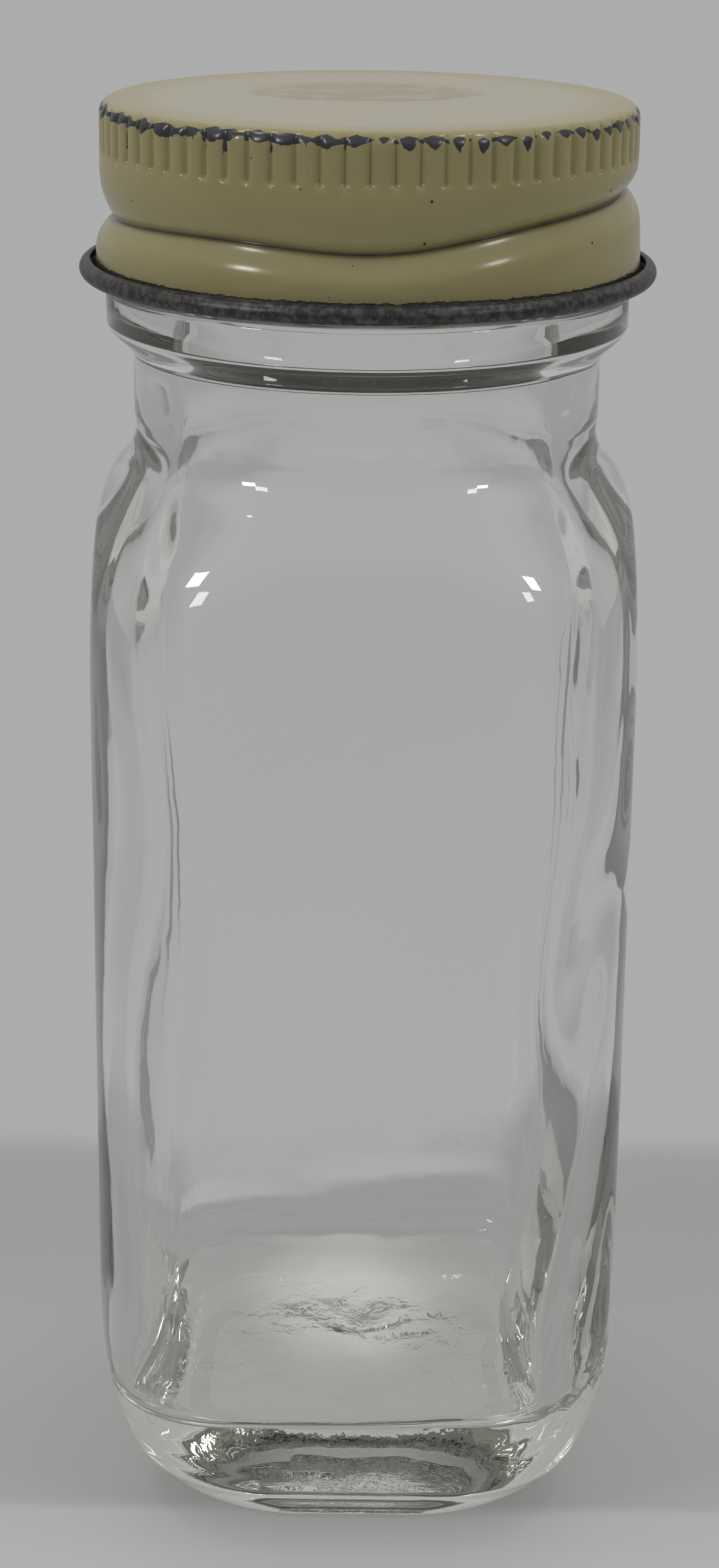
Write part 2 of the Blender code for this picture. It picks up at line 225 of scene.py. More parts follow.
# Rolled groove: its crease, with its lift and the dip where the roller began, and its flanks over
# and under the crease, each with a height, a shape and the clearance that it keeps
SKIRT_FOOT_Z = CAP_HEM_Z + 2 * CURL_RADIUS
CREASE_FRONT_Z = 85.6
LIFT, LIFT_LOST, LIFT_LOST_DEG = 0.6, 0.6, (90, 60)
DIP, DIP_DEG, DIP_WIDE_DEG = 0.95, 3, 26
UPPER_FLANK, UPPER_SHAPE, UPPER_CLEAR = 3.2, 2.2, 0.06
LOWER_FLANK, LOWER_SHAPE, LOWER_CLEAR = 1.9, 0.7, 0.12
LOWER_CROWDING = 1.5
FADED_FLANK = 0.35
GROOVE_DEPTH = 1.05
GROOVE_TURN_DEG = (0.0, 165.0, 50.0)
# How far from the crease the painted shade reaches
CREASE_SHADE_REACH = 0.17

# What the cap's material reads: far from bare steel, well inside it, how far over the curl bare
# steel begins, and the distance along the sheet that stands for the curl
LACQUERED, BARE = -0.5, 0.5
CURL_BARE_OVER = 0.05
CURL_ALONG = 12.0

# Chips on the lands: least and most width, top and height, each an even draw, where down its
# height a chip is widest and how round it is, and half a land in millimetres
CHIP_SEED = 11
CHIP_SPANS = ((0.5, 1.05), (0.6, 0.95), (0.45, 1.05))
CHIP_WIDEST, CHIP_ROUNDING = 0.25, 0.7
HALF_LAND = 0.6

# The worn line: where it starts and stops on the left, its places behind, its width, how far it
# lies along the sheet, and how far it holds back the chips
LINE_IN_DEG, LINE_OUT_DEG = (-112, 12), (4, 6)
BEHIND_IN_DEG, BEHIND_PLACES = (100, 10), (0.5, 0.15)
LINE_WIDTH, LINE_BLOBS, LINE_GAP = 0.13, 0.62, 0.3
LINE_ALONG, LINE_WANDER = 0.98, 0.35
CHIPS_THINNED, CHIPS_HELD_BACK = 0.55, 0.15

# Bare cracks that run down the flutes' valleys
CRACK_WIDTH, CRACK_FADE = 0.05, 0.5
CRACK_FROM, CRACK_TO = 0.9, 1.1
DRIP_LEVEL, DRIP_LENGTH = 0.45, 3.2
NO_CRACK = -0.3

# Random curves round the cap: seed, and waves in a turn
BEHIND_CURVE = (5, (2, 3, 5))
BLOB_CURVE = (8, (23, 31, 47, 58, 71))
WANDER_CURVE = (9, (4, 7, 11, 29))
DRIP_CURVE = (14, (9, 13, 26))


def smooth(t):
    """0 to 1 with level ends, on numbers or arrays."""
    t = np.clip(t, 0.0, 1.0)
    return t * t * (3 - 2 * t)


def rising(value, start, span):
    """0 up to start, then a smooth rise to 1 over the span."""
    return smooth((value - start) / span)


def falling(value, end, span):
    """1, then a smooth fall to 0 over the span, which stops at end."""
    return smooth((end - value) / span)


def bump(across):
    """1 in the middle of a thread and 0 at its edges, -1 and 1."""
    return 0.5 + 0.5 * np.cos(np.pi * np.clip(across, -1, 1))


def between(first, last, count):
    """Evenly spaced numbers between two ends, without the ends."""
    return np.linspace(first, last, count + 2)[1:-1]


def angles(count):
    """Angles of a ring's points, anticlockwise from +X."""
    return np.arange(count) * (2 * np.pi / count)


def from_front(theta):
    """Degrees from the front of the bottle."""
    return np.degrees(theta) + 90


def apart(degrees, middle):
    """Degrees from a middle, -180 to 180."""
    return (degrees - middle + 180) % 360 - 180


def spot(degrees, z, middle, height, wide, tall):
    """1 at a place on the bottle's wall, fading away on all sides."""
    return np.exp(-(apart(degrees, middle) / wide) ** 2 - ((z - height) / tall) ** 2)


def one_turn(angle_deg, middle_deg, half_span_deg, fade_deg):
    """Rise and strength of a one-turn thread; past its ends the rise slides back to its start."""
    along = apart(angle_deg, middle_deg)
    reach = np.abs(along)
    past_end = np.maximum(0.0, reach - half_span_deg) / (180 - half_span_deg)
    slid = np.copysign(np.minimum(reach, half_span_deg) * (1 - past_end), along)
    return PITCH * (slid + middle_deg) / 360, falling(reach, half_span_deg, fade_deg)


def square_radius(half, corner, theta):
    """Distance from the axis to a round-cornered square, at each angle."""
    corner = min(corner, half)
    offset = half - corner
    folded = np.abs((theta + np.pi / 4) % (np.pi / 2) - np.pi / 4)
    flat = half / np.cos(folded)
    reach = offset * (np.cos(folded) + np.sin(folded))
    inside = corner ** 2 - offset ** 2 * (1 - np.sin(2 * folded))
    arc = reach + np.sqrt(np.maximum(inside, 0))
    return np.where(half * np.tan(folded) <= offset, flat, arc)


def ring(radius, z, theta):
    """Points of a ring whose radius and height may vary with the angle."""
    radius = radius + 0 * theta
    return np.stack([radius * np.cos(theta), radius * np.sin(theta), z + 0 * theta], axis=1)


def arc_points(centre_radius, centre_z, radius, first_deg, last_deg, steps):
    """Radius and height of points on an arc in the axial plane, 0 degrees pointing outward."""
    turn = np.radians(np.linspace(first_deg, last_deg, steps + 1))
    return list(zip(centre_radius + radius * np.cos(turn), centre_z + radius * np.sin(turn)))


def loft_faces(rows, count):
    """Faces from a low pole, which is point 0, through the rows to a high pole, the last point."""
    index = np.arange(count)
    after = (index + 1) % count
    faces = np.stack([0 * index, 1 + index, 1 + after], axis=1).tolist()
    for row in range(rows - 1):
        low = 1 + row * count
        high = low + count
        quads = np.stack([low + index, high + index, high + after, low + after], axis=1)
        faces += quads.tolist()
    last = 1 + (rows - 1) * count
    pole = last + count + 0 * index
    return faces + np.stack([last + index, pole, last + after], axis=1).tolist()


def loft(name, rings, low_pole, high_pole, attributes=None):
    """A closed mesh from low_pole through the rings to high_pole, all in millimetres.

    Seen from above the rings run anticlockwise, and the surface faces up where they widen.
    """
    points = np.concatenate([np.array([low_pole]), *rings, np.array([high_pole])])
    mesh = bpy.data.meshes.new(name)
    mesh.from_pydata((points * MM).tolist(), [], loft_faces(len(rings), len(rings[0])))
    mesh.shade_smooth()
    for key, rows in (attributes or {}).items():
        values = np.concatenate([[rows[0][0]], *rows, [rows[-1][0]]]).astype(np.float32)
        attribute = mesh.attributes.new(key, "FLOAT", "POINT")
        attribute.data.foreach_set("value", values)
    return place_object(name, mesh)


def place_object(name, data):
    """A new object in the scene."""
    made = bpy.data.objects.new(name, data)
    bpy.context.scene.collection.objects.link(made)
    return made


# Glass

def dome(shape, start_reach):
    """Heights and diagonal reaches of a shoulder, bottom to top, and the share climbed."""
    lean = LEAN_GUESS
    for _ in range(LEAN_PASSES):
        join_reach = shape.neck_radius + shape.fillet * (1 - math.cos(lean))
        join_z = shape.neck_z - shape.fillet * math.sin(lean)
        lean = math.atan(shape.power * (start_reach - join_reach) / (join_z - shape.base_z))
    stations = []
    for row in range(shape.rows + 1):
        climbed = row / shape.rows
        reach = start_reach - (start_reach - join_reach) * climbed ** shape.power
        stations.append((shape.base_z + (join_z - shape.base_z) * climbed, reach, climbed))
    for row in range(1, FILLET_ROWS + 1):
        angle = lean * (1 - row / FILLET_ROWS)
        reach = shape.neck_radius + shape.fillet * (1 - math.cos(angle))
        stations.append((shape.neck_z - shape.fillet * math.sin(angle), reach, 1.0))
    return stations


def cut_dome(half, reach, blend, theta):
    """Radii of a dome's ring that the flat sides cut, with a soft edge where they meet it."""
    cut = (half + reach - math.hypot(half - reach, blend)) / 2
    rounded = (ROOT_2 * cut - reach) / (ROOT_2 - 1)
    return square_radius(cut, rounded, theta)


def shoulder(shape, theta):
    """Radii and heights of a shoulder's rings, softer edged on the front and back."""
    start_reach = (shape.half - shape.corner) * ROOT_2 + shape.corner
    front_share = rising(np.abs(np.sin(theta)), *FRONT_SHARE)
    made = []
    for z, reach, climbed in dome(shape, start_reach):
        side = cut_dome(shape.half, reach, SIDE_EDGE_BLEND * climbed, theta)
        front = cut_dome(shape.half, reach, FRONT_EDGE_BLEND * climbed, theta)
        made.append((side + (front - side) * front_share, z))
    return made


def swells(places, degrees, z):
    """How far a list of swells brings the inner wall inward."""
    total = 0 * degrees
    for middle, height, amount, wide, tall in places:
        total = total + amount * spot(degrees, z, middle, height, wide, tall)
    return total


def back_ledge(degrees, z):
    """How deep the ledge over the floor cuts into the back of the inner wall."""
    sway = np.cos(np.radians(LEDGE_SWAY_TURNS * (degrees - LEDGE_SWAY_DEG)))
    ledge_z = LEDGE_Z + LEDGE_SWAY * sway
    behind = falling(np.abs(apart(degrees, 180)), *LEDGE_END_DEG)
    return LEDGE_DEPTH * behind * np.exp(-((z - ledge_z) / LEDGE_HEIGHT) ** 2)


def mould_marks(theta, z):
    """Fine crossed waves low on the inner wall."""
    marks = MOULD_SIZE * falling(z, *MOULD_END)
    for lobes, climb in MOULD_WAVES:
        marks = marks * np.sin(lobes * theta + climb * z)
    return marks


def wall_wave(theta, z):
    """How far the inner wall comes inward of its even thickness."""
    degrees = from_front(theta)
    wave = swells(WALL_SWELLS, degrees, z)
    for size, lobes, drop, start in WALL_WAVES:
        wave = wave + size * np.sin(lobes * theta + z / drop + start)
    wave = wave * rising(z, *WAVES_IN) * falling(z, *WAVES_OUT)
    right = np.maximum(0, np.cos(theta)) ** RIGHT_ROUNDING
    thickening = RIGHT_THICKENING * right * falling(z, *RIGHT_END)
    wave = wave + swells(NECK_SWELLS, degrees, z) - back_ledge(degrees, z)
    return wave + thickening + mould_marks(theta, z)


def floor_ripple(theta, radius, seed, size):
    """Uneven height of a pressed and sagged floor: soft waves a few millimetres long."""
    rng = np.random.default_rng(seed)
    x, y = radius * np.cos(theta), radius * np.sin(theta)
    total = 0 * x
    for wave in FLOOR_WAVES:
        turn, phase = rng.uniform(0, 2 * np.pi, 2)
        along = x * math.cos(turn) + FLOOR_WAVE_STRETCH * y * math.sin(turn)
        total = total + wave * np.sin(2 * np.pi * along / wave + phase)
    return size * total / FLOOR_WAVE_SCALE


def heel_ripple(theta, z):
    """Slanting ripples in the heel's right corner, and level folds in its left one."""
    degrees = from_front(theta)
    across = np.radians(degrees) * HEEL_REACH
    total = 0 * theta
    for run_round, run_up, length, depth, middle, height, wide, tall in HEEL_RIPPLES:
        streak = np.sin(2 * np.pi * (run_round * across + run_up * z) / length)
        total = total + depth * streak * spot(degrees, z, middle, height, wide, tall)
    return total


def inner_floor(theta):
    """Radii and heights from the middle of the inner floor out to the wall."""
    half, corner = INNER_SHOULDER.half, INNER_SHOULDER.corner
    rows = []
    for share in between(0, 1, FLOOR_ROWS):
        radius = square_radius(half - INNER_HEEL_INSET, corner, theta) * share
        ripple = floor_ripple(theta, radius, *INNER_RIPPLE) * rising(share, 0, CALM_MIDDLE)
        rows.append((radius, FLOOR_Z + FLOOR_DISH * share ** 2 + ripple))
    for turn in np.linspace(np.pi / 2, 0, INNER_HEEL_ROWS):
        inset = INNER_HEEL_INSET * (1 - math.cos(turn))
        z = FLOOR_Z + FLOOR_DISH + INNER_HEEL_HEIGHT * (1 - math.sin(turn))
        rows.append((square_radius(half - inset, corner, theta), z))
    return rows


def glass_inside(theta):
    """Rings from the inner floor up to the top of the lip."""
    wall = square_radius(INNER_SHOULDER.half, INNER_SHOULDER.corner, theta)
    wall_foot = FLOOR_Z + FLOOR_DISH + INNER_HEEL_HEIGHT
    rows = inner_floor(theta)
    rows += [(wall, z) for z in between(wall_foot, INNER_SHOULDER.base_z, INNER_SIDE_ROWS)]
    rows += shoulder(INNER_SHOULDER, theta)
    round_z = LIP_Z - LIP_INNER_ROUND
    bore = np.linspace(INNER_NECK_Z + BORE_FOOT_GAP, round_z - BORE_TOP_GAP, BORE_ROWS)
    rows += [(BORE_RADIUS, z) for z in bore]
    made = [ring(radius - wall_wave(theta, z), z, theta) for radius, z in rows]
    lip = arc_points(BORE_RADIUS + LIP_INNER_ROUND, round_z, LIP_INNER_ROUND, 180, 90, LIP_ROWS)
    return made + [ring(radius, z, theta) for radius, z in lip]


def thread_rings(theta):
    """Rings down over the moulded thread, following its helix."""
    rise, strength = one_turn(from_front(theta), *THREAD_TURN_DEG)
    made = []
    for across in np.linspace(-1, 1, THREAD_ROWS):
        radius = FINISH_RADIUS + THREAD_HEIGHT * strength * bump(across)
        made.append(ring(radius, THREAD_FRONT_Z + rise - across * THREAD_WIDTH / 2, theta))
    return made


def glass_neck_outside(theta):
    """Rings from the lip's outer edge down to the foot of the neck."""
    lip = arc_points(FINISH_RADIUS - LIP_OUTER_ROUND, LIP_Z - LIP_OUTER_ROUND,
                     LIP_OUTER_ROUND, 90, 0, LIP_ROWS)
    root_z = BEAD_TOP_Z + ROOT_FILLET
    edge_z = BEAD_TOP_Z - BEAD_EDGE
    neck = [(FINISH_RADIUS, root_z)]
    neck += arc_points(FINISH_RADIUS + ROOT_FILLET, root_z, ROOT_FILLET, 200, 270, ROOT_ROWS)
    neck += arc_points(BEAD_RADIUS - BEAD_EDGE, edge_z, BEAD_EDGE, 90, 0, LIP_ROWS)
    neck += [(BEAD_RADIUS, z) for z in between(edge_z, BEAD_BASE_Z, BEAD_ROWS)]
    for share in np.linspace(0, 1, UNDER_BEAD_ROWS):
        radius = NECK_RADIUS + (BEAD_RADIUS - NECK_RADIUS) * smooth(1 - share)
        neck.append((radius, BEAD_BASE_Z + share * (NECK_TOP_Z - BEAD_BASE_Z)))
    neck += [(NECK_RADIUS, z) for z in between(NECK_TOP_Z, NECK_BASE_Z, NECK_ROWS)]
    made = [ring(radius, z, theta) for radius, z in lip]
    return made + thread_rings(theta) + [ring(radius, z, theta) for radius, z in neck]


def heel_rows(theta):
    """Radii and heights round the heel, with the fine seam where the mould's plate meets it."""
    rows = []
    for turn in np.linspace(0, np.pi / 2, HEEL_ROWS):
        inset = HEEL_INSET * (1 - math.cos(turn))
        z = HEEL_HEIGHT * (1 - math.sin(turn))
        corner = BODY_CORNER + HEEL_CORNER_GROWTH * inset / HEEL_INSET
        seam = falling(z, PLATE_SEAM_Z + PLATE_SEAM_SOFT / 2, PLATE_SEAM_SOFT)
        radius = square_radius(BODY_HALF - inset - PLATE_SEAM_STEP * seam, corner, theta)
        rows.append((radius - heel_ripple(theta, z), z))
    return rows


def underside_rows(theta):
    """Radii and heights from the bearing ring in to the middle of the underside."""
    dish = square_radius(BODY_HALF - HEEL_INSET - RING_WIDTH,
                         BODY_CORNER + HEEL_CORNER_GROWTH - RING_WIDTH, theta)
    rows = [(dish * RING_INNER_EDGE, 0.0)]
    for share in np.linspace(1, 0, UNDERSIDE_ROWS)[:-1]:
        ripple = floor_ripple(theta, dish * share, *UNDER_RIPPLE) + UNDER_LIFT
        ripple = ripple * falling(share, 1, CALM_RIM) * rising(share, 0, CALM_MIDDLE)
        rows.append((dish * share, PUSH_UP * falling(share, 1, PUSH_UP_SPAN) + ripple))
    return rows


def glass_body_outside(theta):
    """Rings from the shoulder down to the middle of the underside."""
    side = square_radius(BODY_HALF, BODY_CORNER, theta)
    rows = shoulder(OUTER_SHOULDER, theta)[::-1]
    rows += [(side, z) for z in between(OUTER_SHOULDER.base_z, HEEL_HEIGHT, SIDE_ROWS)]
    rows += heel_rows(theta) + underside_rows(theta)
    return [ring(radius, z, theta) for radius, z in rows]


def make_glass():
    """The bottle's glass, from the inner floor, over the lip, to the underside."""
    theta = angles(GLASS_POINTS)
    rings = glass_inside(theta) + glass_neck_outside(theta) + glass_body_outside(theta)
    made = loft("bottle_glass", rings, (0, 0, FLOOR_Z), (0, 0, PUSH_UP))
    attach(made, "bottle")
    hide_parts("glass_bottle")
    return made


# Cap

def skirt_radius(z):
    """The cap's wall, which flares a little below the knurl."""
    return CAP_RADIUS + SKIRT_FLARE * falling(z, KNURL_FOOT_Z, KNURL_FOOT_Z - SKIRT_FOOT_Z)


def flute_place(degrees):
    """Which land an angle lies on, and where across it: 0 in its middle, -1 and 1 in the flutes."""
    position = (degrees - FLUTE_PHASE_DEG) / FLUTE_STEP_DEG
    land = np.floor(position + LAND_NUDGE)
    return land.astype(int) % FLUTES, (position - land) * 2 - 1


def flute_cut(degrees):
    """Depth of the knurl: round lands with a sharp valley between them."""
    across = np.abs(flute_place(degrees)[1])
    return FLUTE_DEPTH * (FLUTE_SQUARE * across ** 2 + FLUTE_FOURTH * across ** 4)


def crease_height(degrees):
    """Height and strength of the groove's crease: its helix, with the roller's dip."""
    rise, strength = one_turn(degrees, *GROOVE_TURN_DEG)
    around = apart(degrees, 0)
    lost = rising(np.abs(around), *LIFT_LOST_DEG)
    lift = LIFT * (1 - LIFT_LOST * lost)
    dip = DIP * np.exp(-((around - DIP_DEG) / DIP_WIDE_DEG) ** 2)
    return CREASE_FRONT_Z + rise + lift - dip, strength


def soft_random(degrees, seed, waves):
    """A smooth random curve round the cap, about 0 to 1, the same on every run."""
    rng = np.random.default_rng(seed)
    total = 0 * degrees
    for wave in waves:
        total = total + np.sin(np.radians(degrees) * wave + rng.uniform(0, 2 * np.pi))
    return 0.5 + 0.5 * total / len(waves)


def chip_wear(degrees, along):
    """How far inside the chip on its land's corner a point lies."""
    rng = np.random.default_rng(CHIP_SEED)
    width, top, tall = [rng.uniform(*span, FLUTES) for span in CHIP_SPANS]
    land, across = flute_place(degrees)
    share = (along - top[land]) / tall[land]
    span = np.minimum(share / CHIP_WIDEST, (1 - share) / (1 - CHIP_WIDEST))
    round_edge = width[land] * np.maximum(span, 0) ** CHIP_ROUNDING
    return (np.where(span > 0, round_edge, span) - np.abs(across)) * HALF_LAND


def line_share(degrees):
    """Where wear runs on as a line: 1 on the left and in places behind, else 0."""
    around = apart(degrees, 0)
    left = rising(around, *LINE_IN_DEG) * falling(around, *LINE_OUT_DEG)
    places = rising(soft_random(degrees, *BEHIND_CURVE), *BEHIND_PLACES)
    return np.maximum(left, places * rising(np.abs(around), *BEHIND_IN_DEG))


def crack_wear(degrees, along, line):
    """How far inside a crack down a flute's valley a point lies."""
    across = np.abs(flute_place(degrees)[1])
    drip = np.maximum(0, soft_random(degrees, *DRIP_CURVE) - DRIP_LEVEL) * DRIP_LENGTH * line
    crack = np.minimum(CRACK_WIDTH - (1 - across) * CRACK_FADE, CRACK_TO + drip - along)
    return np.where(along > CRACK_FROM, crack, NO_CRACK)


def edge_wear(degrees, along):
    """How far inside bare steel a point of the cap's corner lies, in millimetres.

    along is the distance down the sheet from where the crown begins to turn. On the left the
    wear is a thin ragged line, elsewhere it is a chip on the corner of each land.
    """
    line = line_share(degrees)
    chips = chip_wear(degrees, along) * (1 - CHIPS_THINNED * line) - CHIPS_HELD_BACK * line
    blobs = soft_random(degrees, *BLOB_CURVE) ** 2
    middle = LINE_ALONG + LINE_WANDER * (soft_random(degrees, *WANDER_CURVE) - 0.5)
    band = (LINE_WIDTH + LINE_BLOBS * blobs) * line - LINE_GAP * (1 - line)
    band = band - np.abs(along - middle)
    return np.maximum(np.maximum(chips, band), crack_wear(degrees, along, line))


class SheetFace:
    """One face of the cap's sheet: its rings from crown to curl, and what its material reads.

    For each ring it holds the millimetres along the sheet from the crown's corner, how far
    inside bare steel its points lie, and how strongly the painted shade by the crease darkens them.
    """

    def __init__(self, inward, theta):
        self.inward = inward
        self.theta = theta
        self.degrees = from_front(theta)
        self.rings, self.along, self.bare, self.crease_shade = [], [], [], []
        self.add_crown()
        self.add_knurl()
        self.add_groove()
        self.add_curl()

    def add(self, radius, z, along, bare=LACQUERED, crease_shade=0.0):
        self.rings.append(ring(radius, z, self.theta))
        self.along.append(along + 0 * self.theta)
        self.bare.append(bare + 0 * self.theta)
        self.crease_shade.append(crease_shade + 0 * self.theta)

    def add_wall(self, z, carved=0.0, bare=LACQUERED, crease_shade=0.0):
        """A ring below the knurl, carved inward by the rolled groove."""
        radius = skirt_radius(z) - self.inward - carved
        self.add(radius, z, EDGE_ALONG + CAP_TOP_Z - z, bare, crease_shade)

    def add_crown(self):
        for share in CROWN_SHARES:
            self.add(EDGE_CENTRE * share, CAP_TOP_Z - self.inward, EDGE_CENTRE * (share - 1))

    def add_knurl(self):
        """The round corner, where the flutes begin, and the fluted band below it."""
        flutes = flute_cut(self.degrees)
        radius = CAP_EDGE - self.inward
        for turn_deg in np.linspace(90, 0, CORNER_ROWS):
            turn = math.radians(turn_deg)
            depth = FLUTE_CORNER_DEPTH * falling(turn_deg, *FLUTE_START_DEG)
            along = CAP_EDGE * math.radians(90 - turn_deg)
            self.add(EDGE_CENTRE + radius * math.cos(turn) - flutes * depth,
                     EDGE_Z + radius * math.sin(turn), along, edge_wear(self.degrees, along))
        for share in np.linspace(0, 1, KNURL_ROWS)[1:]:
            deeper = (1 - FLUTE_CORNER_DEPTH) * rising(share, 0, FLUTE_RISE)
            depth = (FLUTE_CORNER_DEPTH + deeper) * falling(share, 1, FLUTE_FALL)
            along = EDGE_ALONG + share * KNURL_HEIGHT
            self.add(CAP_RADIUS - self.inward - flutes * depth, EDGE_Z - share * KNURL_HEIGHT,
                     along, edge_wear(self.degrees, along))

    def add_groove(self):
        """The rolled groove's two flanks, which meet in its crease, and the straight skirt."""
        crease, strength = crease_height(self.degrees)
        narrowed = FADED_FLANK + (1 - FADED_FLANK) * strength
        flank = np.minimum(UPPER_FLANK, KNURL_FOOT_Z - UPPER_CLEAR - crease) * narrowed
        for away in np.linspace(1, 0, FLANK_ROWS):
            above = flank * away
            carved = GROOVE_DEPTH * strength * (1 - away) ** UPPER_SHAPE
            self.add_wall(crease + above, carved, crease_shade=painted_crease_shade(above, strength))
        flank = np.minimum(LOWER_FLANK, crease - SKIRT_FOOT_Z - LOWER_CLEAR) * narrowed
        curl_top = SKIRT_FOOT_Z + CURL_BARE_OVER
        for away in np.linspace(0, 1, FLANK_ROWS)[1:] ** LOWER_CROWDING:
            z = crease - flank * away
            carved = GROOVE_DEPTH * strength * (1 - math.sin(math.pi / 2 * away) ** LOWER_SHAPE)
            self.add_wall(z, carved, curl_top - z, painted_crease_shade(flank * away, strength))
        foot = crease - flank
        for share in SKIRT_SHARES:
            z = foot + (SKIRT_FOOT_Z - foot) * share
            self.add_wall(z, bare=curl_top - z)

    def add_curl(self):
        centre = CAP_RADIUS + SKIRT_FLARE + CURL_RADIUS - SHEET / 2
        curl = arc_points(centre, CAP_HEM_Z + CURL_RADIUS, CURL_RADIUS - SHEET + self.inward,
                          180, 180 + CURL_SWEEP_DEG, CURL_ROWS)
        for radius, z in curl:
            self.add(radius, z, CURL_ALONG, BARE)


def painted_crease_shade(away, strength):
    """How strongly painted shade darkens the sheet at a distance from the crease."""
    return strength * np.exp(-(away / CREASE_SHADE_REACH) ** 2)


def make_cap():
    """The cap's sheet: crown, knurl, rolled thread and curl."""
    theta = angles(FLUTES * FLUTE_POINTS) + math.radians(FLUTE_PHASE_DEG - 90)
    outer, inner = SheetFace(0.0, theta), SheetFace(SHEET, theta)
    count = len(outer.rings)
    attributes = {"inside": [0 * theta] * count + [1 + 0 * theta] * count}
    for key in ("along", "bare", "crease_shade"):
        attributes[key] = getattr(outer, key) + getattr(inner, key)[::-1]
    made = loft("cap_sheet", outer.rings + inner.rings[::-1], (0, 0, CAP_TOP_Z),
                (0, 0, CAP_TOP_Z - SHEET), attributes)
    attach(made, "cap")
    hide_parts("cap_shell")
    return made


# Materials

class Nodes:
    """A short way to lay out the nodes of a material or of the world."""

    def __init__(self, owner):
        owner.use_nodes = True
        self.tree = owner.node_tree

    def add(self, kind, **settings):
        node = self.tree.nodes.new(kind)
        for key, value in settings.items():
            setattr(node, key, value)
        return node

    def link(self, source, target):
        self.tree.links.new(source, target)

    def put(self, socket, value):
        """Links a socket, or sets its value."""
        if isinstance(value, bpy.types.NodeSocket):
            self.link(value, socket)
        else:
            socket.default_value = value

    def math(self, operation, a, b=0.0):
        node = self.add("ShaderNodeMath", operation=operation)
        for socket, value in zip(node.inputs, (a, b)):
            self.put(socket, value)
        return node.outputs[0]

    def times(self, a, b):
        return self.math("MULTIPLY", a, b)

    def plus(self, a, b):
        return self.math("ADD", a, b)

    def minus(self, a, b):
        return self.math("SUBTRACT", a, b)

    def larger(self, a, b):
        return self.math("MAXIMUM", a, b)

    def step(self, value, low, high, to_low=0.0, to_high=1.0):
        """A smooth step of value between low and high."""
        node = self.add("ShaderNodeMapRange", interpolation_type="SMOOTHSTEP")
        for socket, given in zip(node.inputs, (value, low, high, to_low, to_high)):
            self.put(socket, given)
        return node.outputs[0]

    def fading(self, value, low, high):
        """A smooth step down, from 1 to 0."""
        return self.step(value, low, high, 1.0, 0.0)

    def blend(self, factor, a, b):
        """Mixes two numbers."""
        node = self.add("ShaderNodeMix", data_type="FLOAT")
        for index, value in zip((0, 2, 3), (factor, a, b)):
            self.put(node.inputs[index], value)
        return node.outputs[0]

    def mix(self, factor, a, b):
        """Mixes two colours."""
        node = self.add("ShaderNodeMix", data_type="RGBA")
        for index, value in zip((0, 6, 7), (factor, a, b)):
            self.put(node.inputs[index], value)
        return node.outputs[2]

    def parts(self, vector):
        """The three parts of a vector."""
        node = self.add("ShaderNodeSeparateXYZ")
        self.link(vector, node.inputs[0])
        return node.outputs

    def root_of_squares(self, a, b):
        """The length of a line with these two parts."""
        return self.math("POWER", self.plus(self.times(a, a), self.times(b, b)), 0.5)


class MaterialNodes(Nodes):
    """The nodes of a new material, round its shader."""

    def __init__(self, name):
        self.material = bpy.data.materials.new(name)
        super().__init__(self.material)
        self.shader = self.tree.nodes["Principled BSDF"]
        self.output = self.tree.nodes["Material Output"]
        self.place = self.add("ShaderNodeTexCoord").outputs["Object"]

    def set(self, **values):
        """Sets or links sockets of the shader, whose spaces are written as underscores."""
        for key, value in values.items():
            self.put(self.shader.inputs[key.replace("_", " ")], value)

    def attribute(self, name):
        return self.add("ShaderNodeAttribute", attribute_name=name).outputs["Fac"]

    def noise(self, scale, detail=2.0, roughness=0.5):
        node = self.add("ShaderNodeTexNoise")
        self.link(self.place, node.inputs["Vector"])
        for name, value in (("Scale", scale), ("Detail", detail), ("Roughness", roughness)):
            node.inputs[name].default_value = value
        return node.outputs["Fac"]

    def bump(self, height, distance):
        node = self.add("ShaderNodeBump")
        node.inputs["Strength"].default_value = 1.0
        node.inputs["Distance"].default_value = distance
        self.link(height, node.inputs["Height"])
        return node.outputs["Normal"]


def colour(red, green, blue):
    """An opaque colour in linear light."""
    return (red, green, blue, 1.0)


# Glass: its tint, the green of its body with how strongly it takes up light, and the height
# under which the moulded underside is mottled
GLASS_TINT = colour(0.998, 1.0, 0.996)
GLASS_BODY, GLASS_DENSITY = colour(0.77, 0.80, 0.66), 16.0
REFRACTIVE_INDEX = 1.52
MOTTLED_UNDER = (0.0005, 0.0012)
GLASS_RELIEF = 0.0001

# Light that has been mirrored this often inside the glass goes on in part, in place of black
DEEP_MIRRORINGS = (3.0, 4.0)
DEEP_GLASS = 0.68

# Cap: the one tone of a surface, or the two that noise mixes
CREAM = colour(0.345, 0.300, 0.143), colour(0.300, 0.258, 0.118)
CROWN_DUST = colour(0.41, 0.375, 0.30)
SCUFF = colour(0.25, 0.205, 0.075)
# Painted shade in the groove's crease
CREASE_SHADE_COLOUR = colour(0.05, 0.038, 0.022)
STEEL = colour(0.045, 0.046, 0.055), colour(0.11, 0.11, 0.115)
TARNISH = colour(0.048, 0.046, 0.047), colour(0.105, 0.100, 0.097)
RUST = colour(0.10, 0.045, 0.02), colour(0.05, 0.028, 0.018)
SPECK = colour(0.022, 0.016, 0.010)
TIN = colour(0.38, 0.36, 0.30), colour(0.30, 0.28, 0.23)
CURL_FROM = 11.0
SHEET_RELIEF = 0.00003

# Ragged edges of the wear, then the specks' cells, size and start along the sheet
RAGGED_COARSE, RAGGED_FINE = 0.25, 0.35
WORN_EDGE = (-0.01, 0.03)
SPECK_SCALE, SPECK_LEVEL, SPECK_SIZE, SPECKS_FROM = 560.0, 0.34, 0.24, -0.5

# The crown's dust by distance along the sheet, its grain and its strength
DUST_THINS, DUST_GRAIN, DUST_SHARE = (-3.4, -0.4), (0.8, 1.0), 0.6

